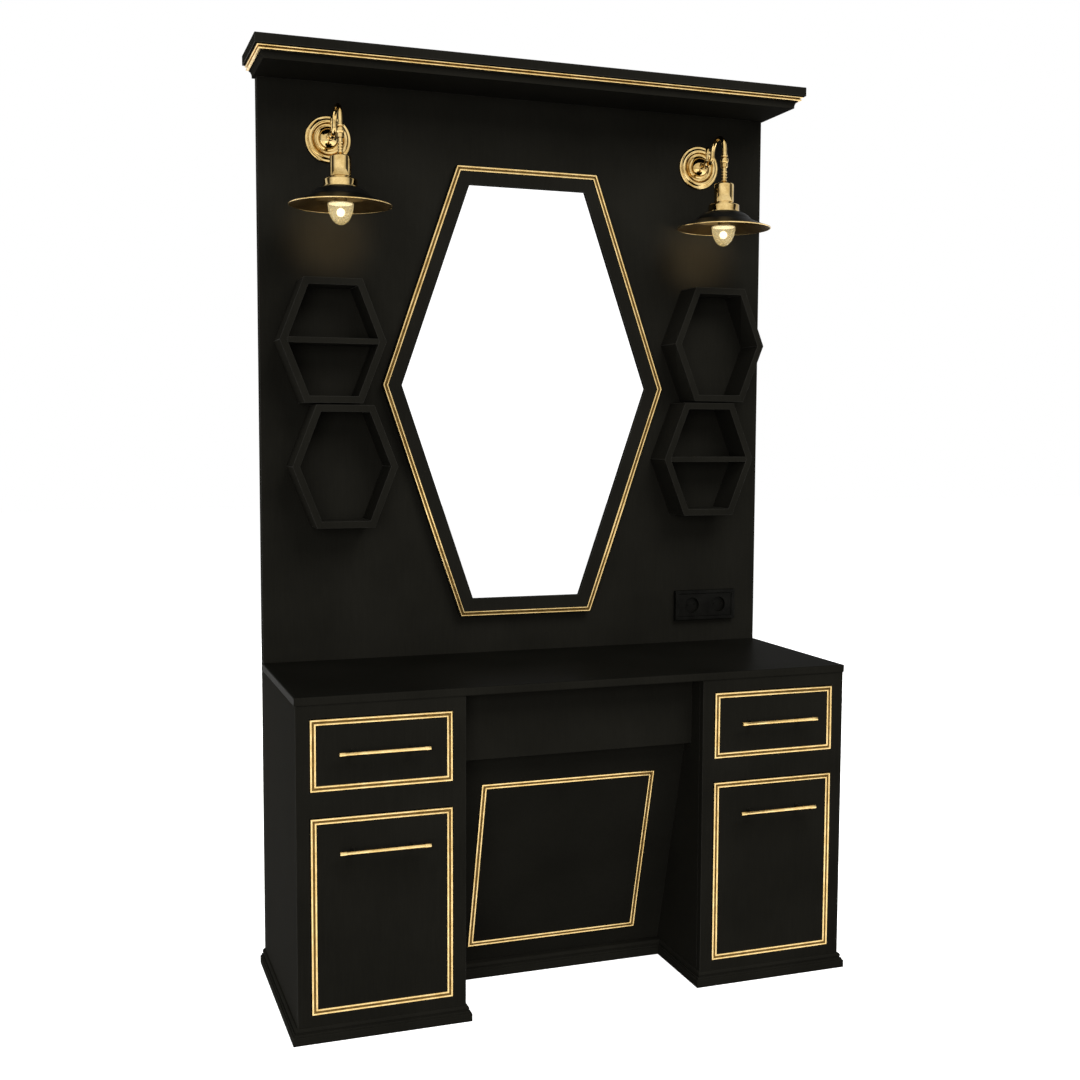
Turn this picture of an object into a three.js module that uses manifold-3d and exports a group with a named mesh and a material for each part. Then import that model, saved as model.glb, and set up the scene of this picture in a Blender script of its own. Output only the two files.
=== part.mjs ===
// Salon station: two drawer pedestals under a counter, and a tall back panel that carries a crown,
// a hexagonal mirror, four hexagonal shelves, a socket outlet and two brass wall lamps.
// Millimetres, +Z up, the front looks towards -Y, and the origin is on the floor under the middle.
import * as THREE from "three";
import { mergeVertices } from "three/addons/utils/BufferGeometryUtils.js";
import Module from "manifold-3d";

const wasm = await Module();
wasm.setup();

// Boards and fits
const stationWidth = 1300;
const stationHeight = 2141;
const panelThickness = 30;
const boardThickness = 18;
const seatGap = 0.3; // between pieces that are cut or turned to meet each other

// Crown
const crownSideOverhang = 28.5;
const crownProjection = 178; // from the face of the back panel
const crownSlabHeight = 21;
const crownGoldHeight = 10.5;
const crownGoldBead = 4; // height of one bead
const crownGoldSetback = 6; // fascia to the upper bead
const crownGoldStep = 2.5; // upper bead to the lower bead
const crownCoveHeight = 16.5;
const crownCoveSetback = 15; // fascia to the top of the cove
const crownCoveDepth = 6.5;
const crownCoveFillet = 2; // flat above and below the cove
const crownCoreSetback = 24; // fascia to the core behind the mouldings
const crownCoreLap = 1; // moulding let into the core

// Pedestals, counter and fronts
const pedestalWidth = 367;
const pedestalDepth = 445; // from the face of the back panel
const counterHeight = 736;
const counterThickness = 18;
const counterOverhang = 2.5;
const frontStile = 30; // face frame beside a front
const frontReveal = 2; // gap round a front in its face frame
const topRail = 30.5;
const shallowFrontHeight = 152.5;
const middleRail = 57;
const bottomRail = 58;
const baseBoardThickness = 18;

// Drawer boxes and runners
const boxInset = 4; // front edge to box side
const boxWall = 12;
const boxFloor = 8;
const boxFloorLift = 14; // lower edge of the front to the underside of the box
const shallowBoxDrop = 26; // upper edge of the front to the rim of the box
const deepBoxDrop = 62;
const boxBackGap = 27;
const grooveDepth = 6;
const grooveHeight = 16;
const grooveLift = 48; // underside of the box to the groove
const runnerPlay = 0.3;
const runnerBackGap = 12;

// Bar handles
const handleLength = 195;
const handleDiameter = 8.5;
const handleSleeveDiameter = 10;
const handleSleeveLength = 14;
const handleStandoff = 30; // front face to the middle of the bar
const handleDrop = 70; // upper edge of the front to the bar
const handlePostSpacing = 128;
const handlePostDiameter = 7;

// Gold double-bead trim
const trimWidth = 12.5;
const trimBase = 1;
const trimBead = 4.2; // width of one bead
const trimBeadRise = 1.7;

// Plinth moulding
const plinthHeight = 34;
const plinthProjection = 11.3;
const plinthBandHeight = 18;
const plinthStepProjection = 8.5;
const plinthStepHeight = 4.5;
const plinthGrooveProjection = 4.5;
const plinthGrooveHeight = 4;
const plinthBead = 6;
const plinthEase = 1.5; // rounded-off upper edges of the band and the step

// Knee space
const apronRecess = 60; // pedestal front to the apron
const apronHeight = 157;
const kneePlinthDepth = 225; // panel face to the back of the knee plinth
const kneeBaseDepth = 44;
const kneeFootDepth = 209; // panel face to the foot of the slanted panel
const kneePanelLap = 52; // slanted panel behind the apron
const kneeTrimSide = 70;
const kneeTrimFoot = 41;
const kneeTrimTop = 73; // below the lower edge of the apron

// Mirror
const mirrorMargin = 286; // panel edge to the mirror's side corner
const mirrorTopFlat = 360;
const mirrorBottomFlat = 342;
const mirrorDrop = 172; // soffit to the mirror
const mirrorLift = 94; // counter to the mirror
const mirrorCornerRise = 19; // side corners above the middle of the mirror
const mirrorFrameWidth = 44;
const mirrorFrameDepth = 22;
const mirrorLip = 6; // frame in front of the glass
const mirrorRebate = 9; // glass behind the frame, all round
const glassThickness = 4;

// Hexagonal shelves
const shelfWidth = 248;
const shelfFlat = 136;
const shelfHeight = 286;
const shelfDepth = 90;
const shelfWall = 16;
const shelfGap = 4;
const shelfBoard = 13;
const upperShelfEdge = 32; // panel edge to the shelf's side corner
const lowerShelfEdge = 58.5;
const leftShelfFall = 68; // middle of the panel above the counter, down to the gap between two shelves
const rightShelfFall = 53;

// Socket outlet
const outletWidth = 171;
const outletHeight = 78;
const outletThickness = 14;
const outletBorder = 9;
const outletEdge = 64; // panel edge to the outlet
const outletLift = 58; // counter to the outlet
const outletRecess = 2; // border to the face of the socket
const socketWell = 40;
const socketWellDepth = 9;
const socketSpacing = 76;
const socketFloor = 1; // material behind the pin holes
const socketPinHole = 5;
const socketPinSpacing = 19;
const socketBoreRun = 1; // cutting length beyond the face of the socket

// Wall lamps
const leftLampEdge = 163; // panel edge to the lamp
const rightLampEdge = 180;
const lampDrop = 131; // soffit to the middle of the rosette
const lampReach = 146;
const rosetteRadius = 54;
const rosetteThickness = 9;
const rosetteEdge = 3; // height of the plain outer edge
const rosetteChamfer = 2;
const rosetteLedge = 4; // flat between the edge and the raised ring
const rosetteSlope = 3;
const rosetteRing = 5; // flat top of the raised ring
const rosetteHollow = 3; // fall inside the raised ring
const domeRadius = 27;
const domeRise = 16;
const armDiameter = 11;
const armRiseReach = 80; // panel face to the rising leg of the arm
const armElbow = 15;
const armLoopRise = 19; // rosette middle to the start of the loop
const ballRadius = 10;
const ballDrop = 8; // rosette middle to the ball
const ferruleRim = 2.5; // ferrule beyond the arm
const rootFerrule = 5;
const tipFerrule = 4;
const knuckleRadius = 9;
const knuckleReach = 51; // the thumb screw stands on the knuckle
const thumbStemRadius = 3;
const thumbScrewRise = 34;
const thumbHeadRadius = 7;
const thumbHeadFlat = 0.6; // thickness of the thumb screw's head against its width
const thumbHeadStretch = 1.3;
const neckRadius = 5;
const neckRings = 4;
const neckRing = 1.8;
const neckRingHeight = 3;
const neckRingPitch = 7;
const neckFlare = 3;
const neckLength = 46; // ball to the cup
const swivelWall = 2.5; // seat of the ball beyond the neck
const swivelDrop = 6;
const cupRadius = 24;
const cupHeight = 48;
const cupChamfer = 4;
const cupRoof = 6; // top of the cup above the lamp cap
const galleryRadius = 38;
const galleryHeight = 22.5;
const galleryShoulder = 4;
const galleryCollar = 3; // beyond the cup
const galleryWall = 2.5;
const shadeRadius = 116;
const shadeDomeRadius = 69;
const shadeDomeFall = 19;
const shadeBrimFall = 20;
const shadeSheet = 1.6;
const shadeRim = 2; // radius of the rolled edge
const shadeRimTurn = 0.75 * Math.PI; // half of the rolled edge's turn
const capRadius = 14;
const capPlay = 0.6;
const capShow = 4; // lamp cap below the gallery
const bulbRadius = 29;
const bulbHeight = 48; // round end, from its lowest point to its widest
const bulbShoulder = 6;
const bulbReach = 43.5; // shade rim to the lowest point of the bulb

// Facets of the curved faces
const lathSides = 24;
const rodSides = 12;
const ballSides = 16;
const ballRows = 8;
const beadSteps = 5;
const bendSteps = 10;
const tubeSteps = 32;
const weldTolerance = 1e-3;

const half = stationWidth / 2;
const soffit = stationHeight - crownSlabHeight - crownGoldHeight - crownCoveHeight;
const counterUnderside = counterHeight - counterThickness;
const kneeHalf = half - pedestalWidth;
const frontFace = -pedestalDepth;
const frontWidth = pedestalWidth - 2 * frontStile;

const finish = (color, roughness, metalness, extra = {}) =>
  new THREE.MeshStandardMaterial({ color, roughness, metalness, ...extra });
const lacquer = finish(0x1d1c19, 0.55, 0);
const shadowLacquer = finish(0x161512, 0.7, 0);
const gold = finish(0xc9a24e, 0.32, 1);
const brass = finish(0xd0a552, 0.2, 1);
const shadeBlack = finish(0x141311, 0.4, 0.3);
const silvered = finish(0xf2f4f5, 0.03, 1);
const bulbGlass = finish(0xfff0cc, 0.25, 0, { emissive: 0xffd98a });
const socketBlack = finish(0x191816, 0.45, 0);

const object = new THREE.Group();
const station = new THREE.Group();
const handleReach = pedestalDepth + handleStandoff + handleSleeveDiameter / 2;
station.position.y = (handleReach - panelThickness) / 2; // the middle of the depth lies over the origin
object.add(station);

function place(name, geometry, material, parent = station) {
  const mesh = new THREE.Mesh(geometry, material);
  mesh.name = name;
  parent.add(mesh);
  return mesh;
}

// Solids: joining and cutting closed meshes
function solid(geometry) {
  const bare = new THREE.BufferGeometry();
  bare.setAttribute("position", geometry.getAttribute("position").clone());
  if (geometry.index) bare.setIndex(geometry.index.clone());
  const merged = mergeVertices(bare, weldTolerance);
  const vertProperties = new Float32Array(merged.getAttribute("position").array);
  const triVerts = new Uint32Array(merged.index.array);
  return new wasm.Manifold(new wasm.Mesh({ numProp: 3, vertProperties, triVerts }));
}

function shaped(manifold) {
  const mesh = manifold.getMesh();
  const geometry = new THREE.BufferGeometry();
  geometry.setAttribute("position", new THREE.BufferAttribute(mesh.vertProperties, 3));
  geometry.setIndex(new THREE.BufferAttribute(mesh.triVerts, 1));
  geometry.computeVertexNormals();
  return geometry;
}

const join = (first, ...rest) => shaped(rest.reduce((sum, g) => sum.add(solid(g)), solid(first)));
const cut = (first, ...rest) => shaped(rest.reduce((left, g) => left.subtract(solid(g)), solid(first)));

// A board between two limits on each axis
function board([x0, x1], [y0, y1], [z0, z1]) {
  const box = new THREE.BoxGeometry(Math.abs(x1 - x0), Math.abs(y1 - y0), Math.abs(z1 - z0));
  return box.translate((x0 + x1) / 2, (y0 + y1) / 2, (z0 + z1) / 2);
}

// Turns a shape drawn in X and Y, rising along Z, so that it stands in X and Z and rises towards the front
const facingFront = (geometry) => geometry.rotateX(Math.PI / 2);

const point = (x, y) => new THREE.Vector2(x, y);

// The direction that keeps a moulding's offsets at a corner, where two sides meet on a mitre
function mitre(corners, i, closed) {
  const n = corners.length;
  const side = (a, b) => {
    const along = corners[b].clone().sub(corners[a]).normalize();
    return point(along.y, -along.x);
  };
  const before = closed || i > 0 ? side((i + n - 1) % n, i) : null;
  const after = closed || i < n - 1 ? side(i, (i + 1) % n) : null;
  if (!before || !after) return before || after;
  return before.clone().add(after).divideScalar(1 + before.dot(after));
}

const offsetOutline = (corners, distance) =>
  corners.map((c, i) => c.clone().addScaledVector(mitre(corners, i, true), distance));

// A moulding of one profile (outward offset, height) along a path, mitred at the corners.
// An open path may be laid from one of its corners to another.
function moulding(corners, profile, { closed = false, from = 0, to = corners.length - 1 } = {}) {
  const run = closed ? corners.map((_, i) => i) : corners.map((_, i) => i).slice(from, to + 1);
  const size = profile.length;
  const positions = [];
  for (const i of run) {
    const direction = mitre(corners, i, closed);
    for (const p of profile) {
      const place = corners[i].clone().addScaledVector(direction, p.x);
      positions.push(place.x, place.y, p.y);
    }
  }
  const index = [];
  const lengths = closed ? run.length : run.length - 1;
  for (let s = 0; s < lengths; s += 1) {
    const a = s * size;
    const b = ((s + 1) % run.length) * size;
    for (let k = 0; k < size; k += 1) {
      const next = (k + 1) % size;
      index.push(a + k, b + k, b + next, a + k, b + next, a + next);
    }
  }
  if (!closed) {
    const last = lengths * size;
    for (const [p, q, r] of THREE.ShapeUtils.triangulateShape(profile, [])) {
      index.push(p, q, r, last + r, last + q, last + p);
    }
  }
  const geometry = new THREE.BufferGeometry();
  geometry.setAttribute("position", new THREE.Float32BufferAttribute(positions, 3));
  geometry.setIndex(index);
  geometry.computeVertexNormals();
  return geometry;
}

// A flat plate of an outline, with holes, drawn in X and Y and rising along Z
function plate(outline, holes, depth) {
  const shape = new THREE.Shape(outline);
  shape.holes = holes.map((hole) => new THREE.Path(hole));
  return new THREE.ExtrudeGeometry(shape, { depth, bevelEnabled: false });
}

// A turned piece about Z from (radius, height) points, given upwards along the outside
function turned(points, sides = lathSides) {
  return new THREE.LatheGeometry(points, sides).rotateX(Math.PI / 2);
}

const arc = (cx, cy, radius, start, end, steps) =>
  Array.from({ length: steps + 1 }, (_, i) => {
    const angle = start + ((end - start) * i) / steps;
    return point(cx + radius * Math.cos(angle), cy + radius * Math.sin(angle));
  });

const rectangle = (x0, y0, x1, y1) => [point(x0, y0), point(x1, y0), point(x1, y1), point(x0, y1)];

// An upright hexagon with a flat top and bottom, and its side corners at one height
const hexagon = (topHalf, cornerHalf, bottomHalf, top, corner, bottom) => [
  point(-bottomHalf, bottom),
  point(bottomHalf, bottom),
  point(cornerHalf, corner),
  point(topHalf, top),
  point(-topHalf, top),
  point(-cornerHalf, corner),
];

// Double-bead trim, laid inside an outline: two beads on a thin base with a flat groove between them
function trimProfile() {
  const bead = (middle) =>
    arc(0, 0, 1, 0, Math.PI, beadSteps).map((p) =>
      point(middle + (p.x * trimBead) / 2, trimBase + p.y * trimBeadRise),
    );
  const edge = trimBead / 2;
  return [point(-trimWidth, 0), point(0, 0), ...bead(-edge), ...bead(edge - trimWidth)];
}

const trim = (outline) => moulding(outline, trimProfile(), { closed: true });

// Back panel and counter
place("back_panel", board([-half, half], [0, panelThickness], [0, soffit]), lacquer);
place(
  "counter_top",
  board([-half - counterOverhang, half + counterOverhang], [frontFace - counterOverhang, 0],
    [counterUnderside, counterHeight]),
  lacquer,
);

// Crown: slab, stepped gold moulding and coved board, open at the back
function crown() {
  const side = half + crownSideOverhang;
  const slabUnderside = stationHeight - crownSlabHeight;
  const coveTop = soffit + crownCoveHeight;
  const path = [
    point(-side, panelThickness),
    point(-side, -crownProjection),
    point(side, -crownProjection),
    point(side, panelThickness),
  ];
  place(
    "crown_top",
    board([-side, side], [-crownProjection, panelThickness], [slabUnderside, stationHeight]),
    lacquer,
  );
  const round = crownGoldBead / 2;
  const bead = (setback, low) =>
    arc(-setback - round, low + round, round, -Math.PI / 2, Math.PI / 2, beadSteps);
  const lowerBead = bead(crownGoldSetback + crownGoldStep, 0);
  const upperFoot = crownGoldHeight - crownGoldBead;
  const coreFace = -crownCoreSetback + seatGap;
  const goldProfile = [
    point(coreFace, 0),
    ...lowerBead,
    point(lowerBead[0].x, upperFoot),
    ...bead(crownGoldSetback, upperFoot),
    point(coreFace, crownGoldHeight),
  ];
  place("crown_gold_trim", moulding(path, goldProfile).translate(0, 0, coveTop), gold);
  const lip = crownCoveSetback + crownCoveDepth;
  const hollow = crownCoveHeight - 2 * crownCoveFillet;
  const letIn = -crownCoreSetback - crownCoreLap;
  const coveProfile = [
    point(letIn, 0),
    point(-lip, 0),
    ...arc(0, 0, 1, Math.PI, Math.PI / 2, beadSteps).map((p) =>
      point(p.x * crownCoveDepth - crownCoveSetback, crownCoveFillet + p.y * hollow),
    ),
    point(-crownCoveSetback, crownCoveHeight),
    point(letIn, crownCoveHeight),
  ];
  const coreSide = side - crownCoreSetback;
  const core = board(
    [-coreSide, coreSide],
    [crownCoreSetback - crownProjection, panelThickness],
    [soffit, slabUnderside],
  );
  const cove = moulding(path, coveProfile).translate(0, 0, soffit);
  place("crown_cove", join(core, cove), lacquer);
}
crown();

// Fronts: the shallow one is a set height, and the tall one fills what the rails leave
const shallowTop = counterUnderside - topRail;
const deepTop = shallowTop - shallowFrontHeight - middleRail;
const fronts = [
  { kind: "drawer", top: shallowTop, height: shallowFrontHeight, boxDrop: shallowBoxDrop },
  { kind: "deep_drawer", top: deepTop, height: deepTop - bottomRail, boxDrop: deepBoxDrop },
];
const boxBottom = (front) => front.top - front.height + boxFloorLift;
const boxSide = frontWidth / 2 - boxInset;
const grooveBottom = (front) => boxBottom(front) + grooveLift;

// A pedestal's side boards carry one runner strip for each drawer
function pedestal(name, side) {
  const middle = side * (half - pedestalWidth / 2);
  const inside = pedestalWidth / 2 - boardThickness;
  const frameBack = frontFace + boardThickness;
  for (const [which, out] of [["outer", side], ["inner", -side]]) {
    const faces = [middle + out * inside, middle + (out * pedestalWidth) / 2];
    const sideBoard = board(faces, [frameBack, 0], [0, counterUnderside]);
    const runners = fronts.map((front) => {
      const low = grooveBottom(front) + 2 * runnerPlay;
      const high = grooveBottom(front) + grooveHeight - runnerPlay;
      const tip = middle + out * (boxSide - grooveDepth + runnerPlay);
      return board([tip, (faces[0] + faces[1]) / 2], [frameBack, -runnerBackGap], [low, high]);
    });
    place(`${name}_${which}_side`, join(sideBoard, ...runners), lacquer);
  }
  place(
    `${name}_base_board`,
    board([middle - inside, middle + inside], [frameBack, 0],
      [plinthHeight, plinthHeight + baseBoardThickness]),
    lacquer,
  );
  const openings = fronts.map((front) => {
    const side = frontWidth / 2 + frontReveal;
    const low = front.top - front.height - frontReveal;
    return rectangle(-side, low, side, front.top + frontReveal);
  });
  const outline = rectangle(-pedestalWidth / 2, 0, pedestalWidth / 2, counterUnderside);
  const frame = facingFront(plate(outline, openings, boardThickness));
  place(`${name}_face_frame`, frame.translate(middle, frameBack, 0), lacquer);
  for (const front of fronts) drawer(`${name}_${front.kind}`, middle, front);
}

// A drawer: front, gold trim round its edge, bar handle, and a box with runner grooves in its sides
function drawer(name, middle, front) {
  const group = new THREE.Group();
  group.position.x = middle;
  station.add(group);
  const side = frontWidth / 2;
  const low = front.top - front.height;
  const back = frontFace + boardThickness;
  place(`${name}_front`, board([-side, side], [frontFace, back], [low, front.top]), lacquer, group);
  const edging = facingFront(trim(rectangle(-side, low, side, front.top)));
  place(`${name}_gold_trim`, edging.translate(0, frontFace, 0), gold, group);
  place(`${name}_handle`, handle().translate(0, frontFace, front.top - handleDrop), gold, group);
  const floor = boxBottom(front);
  const rim = front.top - front.boxDrop;
  const end = -boxBackGap;
  const block = board([-boxSide, boxSide], [back, end], [floor, rim]);
  const hollowSide = boxSide - boxWall;
  const hollow = board(
    [-hollowSide, hollowSide],
    [back + boxWall, end - boxWall],
    [floor + boxFloor, rim + boxFloor],
  );
  const grooveFoot = grooveBottom(front);
  const grooves = [-1, 1].map((out) =>
    board(
      [out * (boxSide - grooveDepth), out * (boxSide + grooveDepth)],
      [back - grooveDepth, end + grooveDepth],
      [grooveFoot, grooveFoot + grooveHeight],
    ),
  );
  place(`${name}_box`, cut(block, hollow, ...grooves), shadowLacquer, group);
}

// A round bar with a sleeve at each end, on two posts, seated at y = 0
function handle() {
  const rod = (diameter, length) =>
    new THREE.CylinderGeometry(diameter / 2, diameter / 2, length, rodSides);
  const across = (diameter, length) =>
    rod(diameter, length).rotateZ(Math.PI / 2).translate(0, -handleStandoff, 0);
  const sleeveMiddle = (handleLength - handleSleeveLength) / 2;
  const ends = [-1, 1].flatMap((out) => [
    across(handleSleeveDiameter, handleSleeveLength).translate(out * sleeveMiddle, 0, 0),
    rod(handlePostDiameter, handleStandoff).translate(
      (out * handlePostSpacing) / 2, -handleStandoff / 2, 0),
  ]);
  return join(across(handleDiameter, handleLength), ...ends);
}

pedestal("left", -1);
pedestal("right", 1);

// Plinth moulding: band, step, groove and bead
function plinth() {
  const stepTop = plinthBandHeight + plinthStepHeight;
  const grooveTop = stepTop + plinthGrooveHeight;
  const beadHeight = plinthHeight - grooveTop;
  const profile = [
    point(0, 0),
    point(plinthProjection, 0),
    point(plinthProjection, plinthBandHeight - plinthEase),
    point(plinthProjection - plinthEase, plinthBandHeight),
    point(plinthStepProjection, plinthBandHeight),
    point(plinthStepProjection, stepTop - plinthEase),
    point(plinthStepProjection - plinthEase, stepTop),
    point(plinthGrooveProjection, stepTop),
    point(plinthGrooveProjection, grooveTop),
    point(plinthBead, grooveTop),
    ...arc(0, 0, 1, 0, Math.PI / 2, beadSteps)
      .slice(1)
      .map((p) => point(plinthBead * p.x, grooveTop + beadHeight * p.y)),
  ];
  const path = [
    point(-half, panelThickness),
    point(-half, frontFace),
    point(-kneeHalf, frontFace),
    point(-kneeHalf, -kneePlinthDepth),
    point(kneeHalf, -kneePlinthDepth),
    point(kneeHalf, frontFace),
    point(half, frontFace),
    point(half, panelThickness),
  ];
  place("left_plinth", moulding(path, profile, { from: 0, to: 3 }), lacquer);
  place("right_plinth", moulding(path, profile, { from: 4, to: 7 }), lacquer);
  const base = board(
    [seatGap - kneeHalf, kneeHalf - seatGap],
    [-kneePlinthDepth, kneeBaseDepth - kneePlinthDepth],
    [0, plinthHeight],
  );
  place("knee_plinth", join(moulding(path, profile, { from: 3, to: 4 }), base), lacquer);
}
plinth();

// Apron, and the slanted panel that runs up behind it
function kneeSpace() {
  const span = [seatGap - kneeHalf, kneeHalf - seatGap];
  const apronFace = frontFace + apronRecess;
  const apronBack = apronFace + boardThickness;
  const apronFoot = counterUnderside - apronHeight;
  place("apron", board(span, [apronFace, apronBack], [apronFoot, counterUnderside]), lacquer);
  const foot = plinthHeight + seatGap;
  const rise = apronFoot + kneePanelLap - foot;
  const run = -kneeFootDepth - (apronBack + seatGap);
  const slant = Math.atan2(run, rise);
  const through = boardThickness / Math.cos(slant);
  const section = [
    point(-kneeFootDepth, foot),
    point(through - kneeFootDepth, foot),
    point(apronBack + seatGap + through, foot + rise),
    point(apronBack + seatGap, foot + rise),
  ];
  const across = new THREE.Matrix4().makeBasis(
    new THREE.Vector3(0, 1, 0), new THREE.Vector3(0, 0, 1), new THREE.Vector3(1, 0, 0));
  const panel = plate(section, [], span[1] - span[0]).applyMatrix4(across).translate(span[0], 0, 0);
  place("knee_panel", panel, lacquer);
  const slope = new THREE.Group();
  slope.position.set(0, -kneeFootDepth, foot);
  slope.rotation.x = slant;
  station.add(slope);
  const side = kneeHalf - kneeTrimSide;
  const top = (apronFoot - foot) / Math.cos(slant) - kneeTrimTop;
  const edging = facingFront(trim(rectangle(-side, kneeTrimFoot, side, top)));
  place("knee_gold_trim", edging.translate(0, -seatGap, 0), gold, slope);
}
kneeSpace();

// Mirror: frame with a rebate at the back, glass, backing board and gold edge
function mirror() {
  const top = soffit - mirrorDrop;
  const bottom = counterHeight + mirrorLift;
  const corner = (top + bottom) / 2 + mirrorCornerRise;
  const outline = hexagon(
    mirrorTopFlat / 2, half - mirrorMargin, mirrorBottomFlat / 2, top, corner, bottom);
  const sight = offsetOutline(outline, -mirrorFrameWidth);
  const rebate = offsetOutline(sight, mirrorRebate);
  const filling = offsetOutline(rebate, -seatGap);
  const bodyDepth = mirrorFrameDepth - mirrorLip;
  const body = facingFront(plate(outline, [rebate], bodyDepth));
  const lip = facingFront(plate(outline, [sight], mirrorLip)).translate(0, -bodyDepth, 0);
  place("mirror_frame", join(body, lip), lacquer);
  const backing = bodyDepth - glassThickness;
  place("mirror_backing", facingFront(plate(filling, [], backing)), shadowLacquer);
  const glass = facingFront(plate(filling, [], glassThickness)).translate(0, -backing, 0);
  place("mirror_glass", glass, silvered);
  const edging = facingFront(trim(outline)).translate(0, -mirrorFrameDepth, 0);
  place("mirror_gold_trim", edging, gold);
}
mirror();

// Hexagonal shelves, each standing off the panel by its depth
function shelf(name, x, z, withBoard) {
  const outline = hexagon(
    shelfFlat / 2, shelfWidth / 2, shelfFlat / 2, shelfHeight / 2, 0, -shelfHeight / 2);
  const inside = offsetOutline(outline, -shelfWall);
  const box = facingFront(plate(outline, [inside], shelfDepth));
  place(name, box.translate(x, 0, z), lacquer);
  if (!withBoard) return;
  const [, , corner, topRight] = offsetOutline(inside, -seatGap);
  const lean = (corner.x - topRight.x) / topRight.y;
  const end = corner.x - (lean * shelfBoard) / 2;
  const section = hexagon(end, corner.x, end, shelfBoard / 2, 0, -shelfBoard / 2);
  place(`${name}_board`, facingFront(plate(section, [], shelfDepth)).translate(x, 0, z), lacquer);
}

for (const [name, side, fall] of [["left", -1, leftShelfFall], ["right", 1, rightShelfFall]]) {
  const joint = (counterHeight + soffit) / 2 - fall;
  const step = (shelfHeight + shelfGap) / 2;
  const reach = half - shelfWidth / 2;
  shelf(`${name}_upper_shelf`, side * (reach - upperShelfEdge), joint + step, side < 0);
  shelf(`${name}_lower_shelf`, side * (reach - lowerShelfEdge), joint - step, side > 0);
}

// Socket outlet: a bordered plate round a double socket with two round wells
function outlet() {
  const x = half - outletEdge - outletWidth / 2;
  const z = counterHeight + outletLift + outletHeight / 2;
  const w = outletWidth / 2;
  const h = outletHeight / 2;
  const border = rectangle(-w, -h, w, h);
  const window = offsetOutline(border, -outletBorder);
  const rim = facingFront(plate(border, [window], outletThickness));
  place("outlet_plate", rim.translate(x, 0, z), socketBlack);
  const face = outletThickness - outletRecess;
  const insert = facingFront(plate(offsetOutline(window, -seatGap), [], face));
  const hollow = (radius, floor, dx) => {
    const depth = face + socketBoreRun - floor;
    const bore = turned([point(0, 0), point(radius, 0), point(radius, depth), point(0, depth)]);
    return facingFront(bore).translate(dx, -floor, 0);
  };
  const wells = [-1, 1].flatMap((out) => {
    const middle = (out * socketSpacing) / 2;
    const pins = [-1, 1].map((p) =>
      hollow(socketPinHole / 2, socketFloor, middle + (p * socketPinSpacing) / 2),
    );
    return [hollow(socketWell / 2, face - socketWellDepth, middle), ...pins];
  });
  place("outlet_socket", cut(insert, ...wells).translate(x, 0, z), socketBlack);
}
outlet();

// Wall lamps: rosette and arm stay on the panel, and the head hangs on the ball
function lamp(name, x) {
  const group = new THREE.Group();
  group.position.set(x, 0, soffit - lampDrop);
  station.add(group);
  const ledge = rosetteEdge + rosetteChamfer;
  const ringOutside = rosetteRadius - rosetteChamfer - rosetteLedge - rosetteSlope;
  const ringInside = ringOutside - rosetteRing;
  const hollow = rosetteThickness - rosetteHollow;
  const rosette = [
    point(0, 0),
    point(rosetteRadius, 0),
    point(rosetteRadius, rosetteEdge),
    point(rosetteRadius - rosetteChamfer, ledge),
    point(rosetteRadius - rosetteChamfer - rosetteLedge, ledge),
    point(ringOutside, rosetteThickness),
    point(ringInside, rosetteThickness),
    point(ringInside - rosetteHollow, hollow),
    ...arc(0, 0, 1, 0, Math.PI / 2, beadSteps).map((p) =>
      point(domeRadius * p.x, hollow + (domeRise + rosetteHollow) * p.y),
    ),
  ];
  place(`${name}_rosette`, facingFront(turned(rosette)), brass, group);
  place(`${name}_arm`, arm(), brass, group);
  const head = new THREE.Group();
  head.position.set(0, -lampReach, -ballDrop);
  group.add(head);
  lampHead(name, head);
}

// The arm leaves the dome, passes a knuckle with a thumb screw, turns up, and loops over to the ball
function arm() {
  const radius = armDiameter / 2;
  const domeTop = rosetteThickness + domeRise + seatGap;
  const loop = (lampReach - armRiseReach) / 2;
  const at = (reach, rise) => new THREE.Vector3(0, -reach, rise);
  const elbow = arc(armRiseReach - armElbow, armElbow, armElbow, -Math.PI / 2, 0, beadSteps);
  const bend = arc(armRiseReach + loop, armLoopRise, loop, Math.PI, 0, bendSteps);
  const route = [
    at(domeTop, 0),
    ...elbow.map((p) => at(p.x, p.y)),
    ...bend.map((p) => at(p.x, p.y)),
    at(lampReach, -ballDrop + ballRadius / 2),
  ];
  const section = new THREE.Shape().absarc(0, 0, radius, 0, 2 * Math.PI);
  const extrudePath = new THREE.CatmullRomCurve3(route, false, "centripetal");
  const tube = new THREE.ExtrudeGeometry(section, {
    extrudePath, steps: tubeSteps, curveSegments: beadSteps });
  const globe = (size) => new THREE.SphereGeometry(size, ballSides, ballRows);
  const ball = globe(ballRadius).translate(0, -lampReach, -ballDrop);
  const knuckle = globe(knuckleRadius).translate(0, -knuckleReach, 0);
  const rod = (size, length) => new THREE.CylinderGeometry(size, size, length, rodSides);
  const root = rod(radius + ferruleRim, rootFerrule).translate(0, -domeTop - rootFerrule / 2, 0);
  const tip = rod(radius + ferruleRim, tipFerrule).rotateX(Math.PI / 2);
  tip.translate(0, -lampReach, ballRadius - ballDrop + tipFerrule / 2);
  const stem = rod(thumbStemRadius, thumbScrewRise).rotateX(Math.PI / 2);
  stem.translate(0, -knuckleReach, thumbScrewRise / 2);
  const head = globe(thumbHeadRadius).scale(thumbHeadFlat, 1, thumbHeadStretch);
  head.translate(0, -knuckleReach, thumbScrewRise);
  return join(tube, ball, knuckle, root, tip, stem, head);
}

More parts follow.
